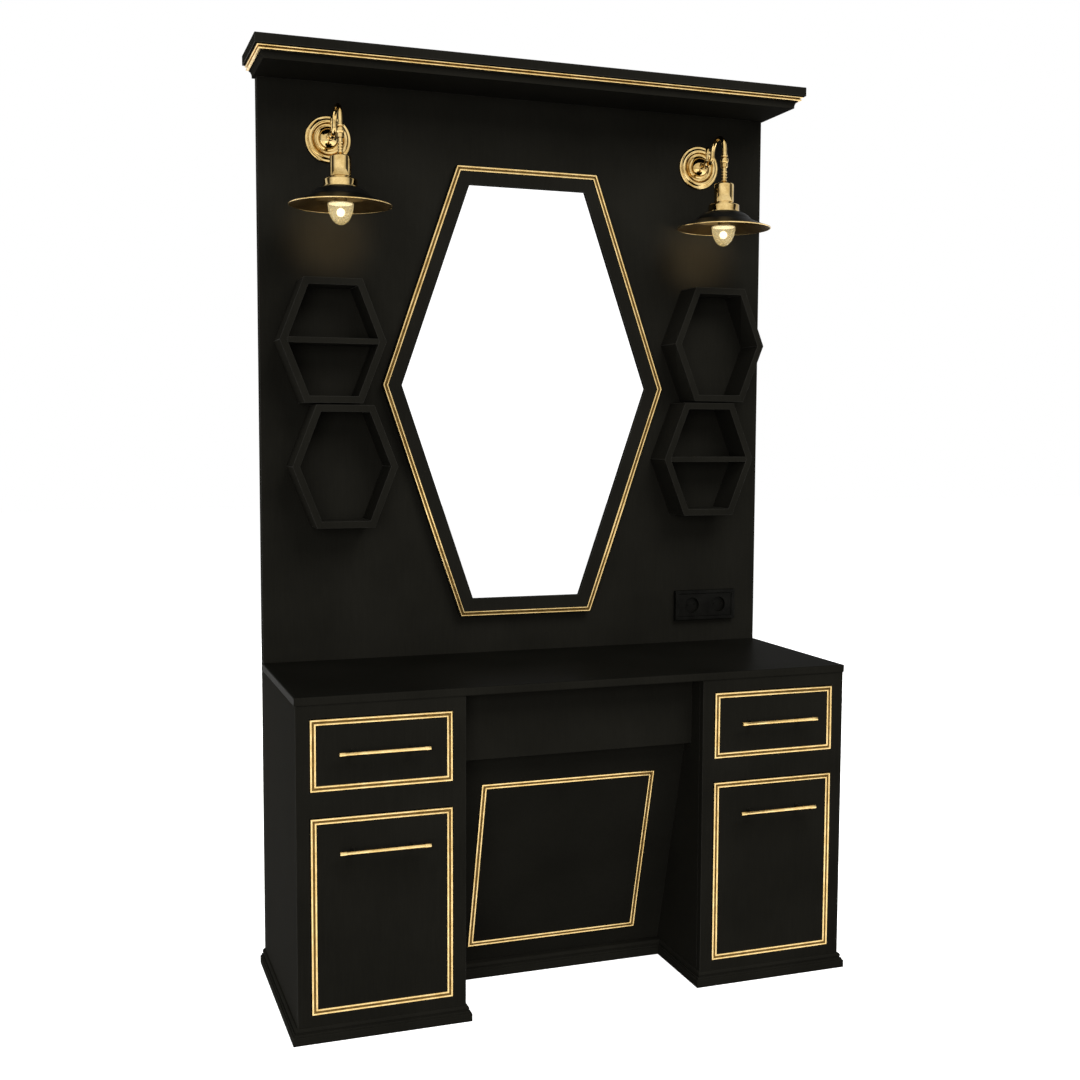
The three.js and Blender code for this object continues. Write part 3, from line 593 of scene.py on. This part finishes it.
kneeCuts = []
for side, out in (("left", -1), ("right", 1)):
    at, away = Vector((out * innerX, kneeY, 0)), Vector((-out, 1, 0)).normalized()
    kneeCuts.append((at, -away))
    makePiece(f"{side}_plinth_run", plinthRun([(at, away)]), "cabinet", (lacquerFinish,),
              (f"{side}_plinth",))
bm = plinthRun(kneeCuts)
kneeHalf = innerX - plinth["kneeGap"]
block(bm, Vector((-kneeHalf, kneeY, 0)), Vector((kneeHalf, kneeY + plinth["kneeDepth"], plinth["height"])))
makePiece("knee_plinth_run", bm, "cabinet", (lacquerFinish,), ("knee_plinth",))
print("crown and plinth run")


# Bar handles: a slender gold bar with a sleeve at each end, on two black posts
handle = {"bar": 3.8, "sleeve": 4.5, "sleeveLength": 14.0, "ease": 0.5, "post": 3.5, "foot": 5.5,
          "footHeight": 2.0, "footSlope": 1.4, "spacing": 128.0, "front": 5.0, "steps": 32}


def handleBar(end):
    inner, bar, sleeve = end - handle["sleeveLength"], handle["bar"], handle["sleeve"]
    return [(0, -end), (sleeve, -end), (sleeve, -inner), (bar, -inner),
            (bar, inner), (sleeve, inner), (sleeve, end), (0, end)]


def handlePost(reach):
    foot, post, top = handle["foot"], handle["post"], handle["footHeight"]
    return [(0, 0), (foot, 0), (foot, top), (post, top + handle["footSlope"]), (post, reach), (0, reach)]


for name in drawers:
    low, high = boxOf(f"{name}_handle")
    middle = (low + high) / 2
    seat = boxOf(f"{name}_front")[0].y
    level = Vector((middle.x, low.y + handle["front"], middle.z))
    bm = bmesh.new()
    turn(bm, handleBar((high.x - low.x) / 2), level, toRight, steps=handle["steps"], ease=handle["ease"])
    makePiece(f"{name}_bar", bm, name, (goldFinish,), (f"{name}_handle",))
    bm = bmesh.new()
    for out in (-1, 1):
        foot = Vector((middle.x + out * handle["spacing"] / 2, seat, middle.z))
        turn(bm, handlePost(seat - level.y), foot, toFront, steps=handle["steps"], ease=handle["ease"])
    makePiece(f"{name}_posts", bm, name, (lacquerFinish,))
print("handles turned")


# Wall lamps: backplate and bracket stay, the head hangs on the ball
backplate = {"radius": 54.0, "thickness": 9.0, "lip": 3.0, "lipRise": 2.4, "ringInset": 12.4, "ring": 5.0,
             "ringRise": 3.2, "bead": 2.6, "beadRise": 2.4, "beadIn": 0.4, "dome": 27.0, "domeRise": 16.0,
             "domeSink": 2.0, "ledge": ((6.4, 5.0), (7.2, 5.6)),  # inset, height
             "hollow": ((18.4, 4.4), (20.5, 6.0))}  # inset, below the face
bracket = {"reach": 146.0, "radius": 5.5, "sides": 28, "riseReach": 80.0, "elbow": 15.0, "loopRise": 19.0,
           "sink": 2.0, "ball": 10.0, "ballDrop": 8.0, "collarEase": 0.3, "rootLift": 1.6, "tipLift": 4.0,
           "rootCollar": ((4, 0), (8, 0), (8.6, 1.6), (8, 3.2), (6.8, 4.2), (6.8, 6), (4, 6)),
           "tipCollar": ((4, -3), (7.4, -3), (8, -1), (7.4, 1), (6.4, 2), (6.4, 4), (4, 4))}
thumbScrew = {"knuckle": 9.0, "reach": 51.0, "rise": 34.0, "ease": 0.4, "wing": (7.0, 9.1), "wingFlat": 0.6,
              "foot": ((0, 6), (4.4, 6), (4.4, 10.4), (3, 11.4)),  # radius, above the knuckle
              "neck": ((3, 9), (4.6, 8), (4.6, 5), (0, 5))}  # radius, below the wing
cup = {"radius": 24.0, "height": 48.0, "foot": ((1.6, 0), (1.6, 1.4), (0.5, 1.9), (0, 3)), "wallTop": 6.0,
       "shoulder": 4.0, "shoulderDrop": 4.4, "root": ((6.4, 0), (5.2, 2.2), (3, 3.4)),
       "neck": 5.0, "neckLength": 46.0, "rings": 4, "firstRing": 7.5, "pitch": 7.0, "ring": 1.8,
       "ringHalf": 2.0, "socket": ((0.6, -8), (3.4, -6), (3.4, 1), (2.6, 3), (1.6, 3))}
collar = {"radius": 38.0, "height": 22.5, "shoulder": 4.0, "wall": 2.5, "round": 3.0, "bead": 0.8,
          "seatIn": 3.0}
hood = {"radius": 116.0, "dome": 69.0, "domeFall": 19.0, "brimFall": 21.5, "sheet": 1.6, "rim": 1.4,
        "domeSteps": 12, "flare": ((1.2, 1.0), (3.4, 2.1)), "lap": 0.9, "steps": 96}
bulb = {"radius": 29.0, "height": 46.5, "shoulder": 3.0, "round": 2.0, "reach": 42.0, "cap": 14.0,
        "capPlay": 1.0, "capRise": 60.0, "core": 9.5, "coreDrop": 19.0, "stem": 1.0, "plate": 26.0,
        "plateSheet": 1.0}
capBore = bulb["cap"] + bulb["capPlay"]
# heights of the head, from the middle of the ball
cupTop = -bracket["ball"] - cup["neckLength"]
cupFoot = cupTop - cup["height"]
hoodTop = cupFoot - collar["height"]
hoodRim = hoodTop - hood["domeFall"] - hood["brimFall"]
bulbTop = hoodRim - bulb["reach"] + bulb["height"]
hotSpot = bulbTop - bulb["coreDrop"]


def sweepOn(bm, edges, move):
    made = bmesh.ops.extrude_edge_only(bm, edges=edges)["geom"]
    bmesh.ops.translate(bm, vec=move, verts=[g for g in made if isinstance(g, bmesh.types.BMVert)])
    return [g for g in made if isinstance(g, bmesh.types.BMEdge) and len(g.link_faces) == 1]


def bendOn(bm, edges, centre, angle, steps):
    verts = list({v for e in edges for v in e.verts})
    made = bmesh.ops.spin(bm, geom=verts + edges, cent=centre, axis=toRight, angle=math.radians(angle),
                          steps=steps)["geom_last"]
    return [g for g in made if isinstance(g, bmesh.types.BMEdge)]


def lampBackplate(bm, root):
    edge, thick, dome, lip = (backplate[key] for key in ("radius", "thickness", "dome", "lip"))
    ring, ringRise, bead, sink = (backplate[key] for key in ("ring", "ringRise", "bead", "domeSink"))
    floor = thick - backplate["hollow"][-1][1]
    rings = [(0, 0), (edge, 0), (edge, lip)] + bow(edge - lip, lip, lip, backplate["lipRise"], 10, 90, 6)
    rings += [(edge - inset, height) for inset, height in backplate["ledge"]]
    rings += bow(edge - backplate["ringInset"], thick - ringRise, ring, ringRise, 10, 170, 10)
    rings += [(edge - inset, thick - fall) for inset, fall in backplate["hollow"]]
    rings += [(dome + bead, floor)]
    rings += bow(dome - backplate["beadIn"], floor + backplate["beadRise"], bead, backplate["beadRise"],
                 -60, 90, 8)
    rings += bow(0, thick - sink, dome - bead, backplate["domeRise"] + sink, 6, 90, 14)
    turn(bm, rings, root, toFront, steps=96)


def lampBracket(bm, root):
    def spot(reach, rise):
        return root + toFront * reach + upward * rise

    start = backplate["thickness"] + backplate["domeRise"] - bracket["sink"]
    bend = bracket["riseReach"] - bracket["elbow"]
    loop = (bracket["reach"] - bracket["riseReach"]) / 2
    turned = Matrix.Translation(spot(start, 0)) @ Matrix.Rotation(math.radians(90), 4, "X")
    ring = bmesh.ops.create_circle(bm, radius=bracket["radius"], segments=bracket["sides"],
                                   matrix=turned)["verts"]
    edges = list({e for v in ring for e in v.link_edges})
    edges = sweepOn(bm, edges, toFront * (bend - start))
    edges = bendOn(bm, edges, spot(bend, bracket["elbow"]), -90, 10)
    edges = sweepOn(bm, edges, upward * (bracket["loopRise"] - bracket["elbow"]))
    edges = bendOn(bm, edges, spot(bracket["riseReach"] + loop, bracket["loopRise"]), 180, 28)
    sweepOn(bm, edges, -upward * (bracket["loopRise"] + bracket["ballDrop"] - bracket["ball"] / 2))
    bmesh.ops.recalc_face_normals(bm, faces=bm.faces)
    # collars where the arm leaves the dome and meets the ball
    turn(bm, bracket["rootCollar"], spot(start + bracket["rootLift"], 0), toFront, steps=40,
         ease=bracket["collarEase"])
    turn(bm, bracket["tipCollar"], spot(bracket["reach"], bracket["tipLift"]), upward, steps=40,
         ease=bracket["collarEase"])
    ball = bow(0, 0, bracket["ball"], bracket["ball"], -90, 90, 18)
    turn(bm, ball, spot(bracket["reach"], -bracket["ballDrop"]), upward, steps=48)
    # knuckle, and the thumb screw that stands on it
    joint, rise = spot(thumbScrew["reach"], 0), thumbScrew["rise"]
    knob = bow(0, 0, thumbScrew["knuckle"], thumbScrew["knuckle"], -90, 90, 16)
    turn(bm, knob, joint, toFront, steps=44)
    screw = list(thumbScrew["foot"]) + [(radius, rise - fall) for radius, fall in thumbScrew["neck"]]
    turn(bm, screw, joint, upward, steps=28, ease=thumbScrew["ease"])
    wing = turn(bm, bow(0, 0, *thumbScrew["wing"], -90, 90, 14), joint + upward * rise, upward, steps=28)
    bmesh.ops.scale(bm, vec=(thumbScrew["wingFlat"], 1, 1), verts=list({v for f in wing for v in f.verts}),
                    space=Matrix.Translation(-joint - upward * rise))


def lampCup(bm, pivot):
    neck, edge, curve = cup["neck"], cup["radius"], cup["shoulder"]
    column = [(capBore, cupFoot)] + [(edge - inset, cupFoot + rise) for inset, rise in cup["foot"]]
    column += [(edge, cupTop - cup["wallTop"])]
    column += bow(edge - curve, cupTop - cup["shoulderDrop"], curve, curve, 0, 80, 8)
    column += [(neck + out, cupTop + rise) for out, rise in cup["root"]]
    for i in range(cup["rings"]):
        middle = cupTop + cup["firstRing"] + cup["pitch"] * i
        column += bow(neck, middle, cup["ring"], cup["ringHalf"], -90, 90, 6)
    column += [(neck + out, rise - bracket["ball"]) for out, rise in cup["socket"]]
    turn(bm, column, pivot, upward)


def lampCollar(bm, pivot):
    edge, wall, bead, curve = (collar[key] for key in ("radius", "wall", "bead", "round"))
    ledge = cupFoot - collar["shoulder"]
    narrow = cup["radius"] - collar["seatIn"]
    skirt = [(edge - wall, hoodTop), (edge, hoodTop)]
    skirt += bow(edge, hoodTop + 2 * bead, bead, 2 * bead, -70, 70, 6)
    skirt += [(edge, ledge - curve)] + bow(edge - curve, ledge - curve, curve, curve, 0, 90, 6)
    skirt += [(narrow, ledge), (narrow, cupFoot), (capBore, cupFoot), (capBore, ledge - wall),
              (edge - wall, ledge - wall), (edge - wall, hoodTop)]
    turn(bm, skirt, pivot, upward)


def lampHood(bm, pivot):
    foot = hoodTop - hood["domeFall"]
    rimMiddle = hoodRim + hood["rim"]
    spread = hood["dome"] - collar["radius"]
    parts = [i / hood["domeSteps"] for i in range(hood["domeSteps"] + 1)]
    shell = [(capBore, hoodTop)]
    shell += [(collar["radius"] + spread * t, hoodTop - hood["domeFall"] * t * t) for t in parts]
    shell += [(hood["dome"] + out, foot - fall) for out, fall in hood["flare"]]
    shell += [(hood["radius"] - hood["rim"] * 2, rimMiddle + hood["lap"])]
    lining = [(radius - hood["sheet"] / 2, height - hood["sheet"]) for radius, height in reversed(shell)]
    roll = bow(hood["radius"] - hood["rim"], rimMiddle, hood["rim"], hood["rim"], 0, 360, 14)
    for finish, profile in enumerate((shell, lining, roll)):
        turn(bm, profile, pivot, upward, finish, steps=hood["steps"])


def lampBulb(glass, core, pivot):
    def rod(bm, edge, low, high, finish, steps, ease):
        turn(bm, [(0, low), (edge, low), (edge, high), (0, high)], pivot, upward, finish, steps, ease)

    curve, neck = bulb["round"], bulbTop + bulb["shoulder"]
    envelope = bow(0, bulbTop, bulb["radius"], bulb["height"], -90, 0, 24)
    envelope += bow(bulb["radius"] - curve, bulbTop, curve, curve, 0, 70, 6)
    envelope += [(bulb["cap"], neck), (0, neck)]
    turn(glass, envelope, pivot, upward)
    # the cap takes the dark inside finish: painted shade
    rod(glass, bulb["cap"], neck, hoodTop + bulb["capRise"], finish=1, steps=48, ease=0.6)
    # seen through the glass: the hot spot on its stem, and a glowing plate that closes the top, a painted
    # highlight for the lit top
    turn(core, bow(0, hotSpot, bulb["core"], bulb["core"], -90, 90, 16), pivot, upward, steps=40)
    plateFoot = bulbTop - bulb["plateSheet"]
    rod(core, bulb["plate"], plateFoot, bulbTop, finish=1, steps=56, ease=0.3)
    rod(core, bulb["stem"], hotSpot, plateFoot, finish=2, steps=16, ease=0.2)


# A warm beam from below each bulb, thrown back on the panel
warmBeam = {"watts": 2.3, "colour": (1.0, 0.76, 0.46), "cone": 92.0, "soft": 0.012, "down": -0.06,
            "drop": 14.0}


def lampBeam(name, body, pivot):
    data = bpy.data.lights.new(name, "SPOT")
    data.energy = warmBeam["watts"]
    data.color = warmBeam["colour"]
    data.spot_size = math.radians(warmBeam["cone"])
    data.spot_blend = 1.0
    data.shadow_soft_size = warmBeam["soft"]
    light = bpy.data.objects.new(name, data)
    light.location = (pivot + upward * (bulbTop - bulb["height"] - warmBeam["drop"])) * mm
    aim = -toFront - upward * warmBeam["down"]
    light.rotation_euler = aim.to_track_quat("-Z", "Y").to_euler()
    scene.collection.objects.link(light)
    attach(light, body)


for side in ("left", "right"):
    low, high = boxOf(f"{side}_lamp_rosette")
    root = Vector(((low.x + high.x) / 2, high.y, (low.z + high.z) / 2))
    pivot = root + toFront * bracket["reach"] - upward * bracket["ballDrop"]
    body = f"{side}_lamp_head"
    hoodFinishes = (enamelFinish, insideShadeFinish, goldFinish)
    parts = (("backplate", lampBackplate, root, "cabinet", "brass", (brassFinish,), "rosette"),
             ("bracket", lampBracket, root, "cabinet", "brass", (brassFinish,), "arm"),
             ("cup", lampCup, pivot, body, "brass", (brassFinish,), "holder"),
             ("collar", lampCollar, pivot, body, "brass", (brassFinish,), "gallery"),
             ("hood", lampHood, pivot, body, "shade_black", hoodFinishes, "shade"))
    for part, shape, at, carrier, slot, finishes, stoodFor in parts:
        bm = bmesh.new()
        shape(bm, at)
        makePiece(f"{side}_lamp_{part}", bm, carrier, finishes, (f"{side}_lamp_{stoodFor}",),
                  smooth=42)
    glass, core = bmesh.new(), bmesh.new()
    lampBulb(glass, core, pivot)
    globe = makePiece(f"{side}_lamp_globe", glass, body, (clearFinish, insideShadeFinish),
                      (f"{side}_lamp_bulb",))
    filament = makePiece(f"{side}_lamp_filament", core, body,
                         (coreFinish, plateFinish, clearFinish))
    globe.visible_shadow = False
    filament.visible_shadow = False
    lampBeam(f"{side}LampBeam", body, pivot)
print("lamps turned")


# Stage: pale floor, soft lamps and a white surround
floorFacts = {"size": 40.0, "glow": 0.80, "bounce": (0.10, 0.10, 0.10, 1), "cloudScale": 1.5,
              "contrast": (0.3, 0.7), "pale": (0.93, 0.93, 0.92, 1), "paler": (0.96, 0.96, 0.955, 1)}
lights = {
    "keyLamp": {"at": (1.0, -3.0, 4.4), "to": (0.0, 0.1, 1.2), "size": 2.4, "watts": 165.0},
    "fillLamp": {"at": (-2.0, -4.3, 1.3), "to": (0.0, 0.1, 1.0), "size": 2.6, "watts": 108.0},
    "leftLamp": {"at": (-5.0, 1.7, 1.6), "to": (-0.65, 0.0, 0.9), "size": 2.4, "watts": 105.0},
    "rightLamp": {"at": (5.0, 1.7, 1.6), "to": (0.65, 0.0, 0.9), "size": 2.4, "watts": 150.0},
    "backLamp": {"at": (0.0, 5.0, 2.6), "to": (0.0, 0.2, 1.1), "size": 2.4, "watts": 130.0},
}


def rayIs(wire, *kinds):
    # 1 where the ray is one of these kinds
    rays = [wire.node("ShaderNodeLightPath", output=f"Is {kind} Ray") for kind in kinds]
    found = rays[0]
    for ray in rays[1:]:
        found = wire.math("MAXIMUM", found, ray)
    return found


def floorPattern(wire, place):
    looked = rayIs(wire, "Camera", "Glossy", "Transmission")
    cloud = noise(wire, place, floorFacts["cloudScale"]).between(*floorFacts["contrast"])
    pale = cloud.blend(floorFacts["pale"], floorFacts["paler"])
    return {"Base Color": looked.blend(floorFacts["bounce"], pale),
            "Emission Color": looked.blend((0, 0, 0, 1), (1, 1, 1, 1))}


bm = bmesh.new()
bmesh.ops.create_grid(bm, x_segments=8, y_segments=8, size=floorFacts["size"] / 2)
mesh = bpy.data.meshes.new("floor")
bm.to_mesh(mesh)
bm.free()
mesh.materials.append(finishOf("paleFloor", floorPattern, Roughness=0.9, Specular_IOR_Level=0.0,
                               Emission_Strength=floorFacts["glow"]))
floor = bpy.data.objects.new("floor", mesh)
scene.collection.objects.link(floor)

for name, facts in lights.items():
    data = bpy.data.lights.new(name, "AREA")
    data.energy = facts["watts"]
    data.size = facts["size"]
    light = bpy.data.objects.new(name, data)
    light.location = facts["at"]
    aim = Vector(facts["to"]) - Vector(facts["at"])
    light.rotation_euler = aim.to_track_quat("-Z", "Y").to_euler()
    light.visible_glossy = False  # metal shows the surround, not the lamps
    scene.collection.objects.link(light)

# White for the eye. Gloss sees a wide front window with a dark gap round it, and a pale room behind.
# Dull surfaces get soft light, more of it from the front.
surround = {"windowAt": (-0.34, -0.94, 0.05), "zenith": 0.5, "window": 1.3, "windowEdge": 0.34,
            "edgeFrom": (0.30, 0.42), "fullFrom": (0.32, 0.74), "gap": 0.035,
            "behind": 0.80, "behindFrom": (0.06, 0.20), "backdrop": 0.64, "backdropFrom": (0.72, 0.88),
            "ambient": 0.12, "ambientFront": 0.52}
world = bpy.data.worlds.new("studio")
world.use_nodes = True
world.node_tree.nodes.clear()
wire = Wire(world.node_tree)
direction = wire.node("ShaderNodeTexCoord", output="Generated")
toward = wire.node("ShaderNodeVectorMath", {"operation": "DOT_PRODUCT"},
                   {0: direction, 1: Vector(surround["windowAt"]).normalized()}, "Value")
away = 0 - toward
height = heightOf(wire, direction)
inFront = toward + height * height * surround["zenith"]
glare = inFront.between(*surround["fullFrom"]) * (surround["window"] - surround["windowEdge"])
window = inFront.between(*surround["edgeFrom"]) * (surround["windowEdge"] + glare)
backdrop = 1 - away.between(*surround["backdropFrom"]) * (1 - surround["backdrop"])
beyond = away.between(*surround["behindFrom"]) * backdrop * surround["behind"]
gloss = surround["gap"] + wire.math("MAXIMUM", window, beyond) * (1 - surround["gap"])
ambient = surround["ambient"] + toward.between(0, 1) * surround["ambientFront"]
looked = rayIs(wire, "Camera", "Transmission")
glossy = rayIs(wire, "Glossy") * (1 - looked)
strength = looked + glossy * gloss + (1 - looked) * (1 - glossy) * ambient
shine = wire.node("ShaderNodeBackground", None, {"Color": (1, 1, 1, 1), "Strength": strength})
wire.node("ShaderNodeOutputWorld", None, {"Surface": shine})
scene.world = world
scene.view_settings.view_transform = "Standard"

# Camera of the photograph
view = {"at": (-1.1027, -2.9883, 1.2797), "yaw": 19.6196, "pitch": -4.4714, "roll": 0.2404, "lens": 45.288,
        "sensor": 36.0}
yaw, pitch, roll = (math.radians(view[key]) for key in ("yaw", "pitch", "roll"))
ahead = Vector((math.sin(yaw) * math.cos(pitch), math.cos(yaw) * math.cos(pitch), math.sin(pitch)))
across = Vector((math.cos(yaw), -math.sin(yaw), 0))
above = across.cross(ahead)
levelled = across * math.cos(roll) + above * math.sin(roll)
raised = above * math.cos(roll) - across * math.sin(roll)
turned = Matrix((levelled, raised, -ahead)).transposed().to_4x4()
data = bpy.data.cameras.new("photoCamera")
data.lens = view["lens"]
data.sensor_width = view["sensor"]
camera = bpy.data.objects.new("photoCamera", data)
camera.matrix_world = Matrix.Translation(view["at"]) @ turned
scene.collection.objects.link(camera)
scene.camera = camera
print("stage set")
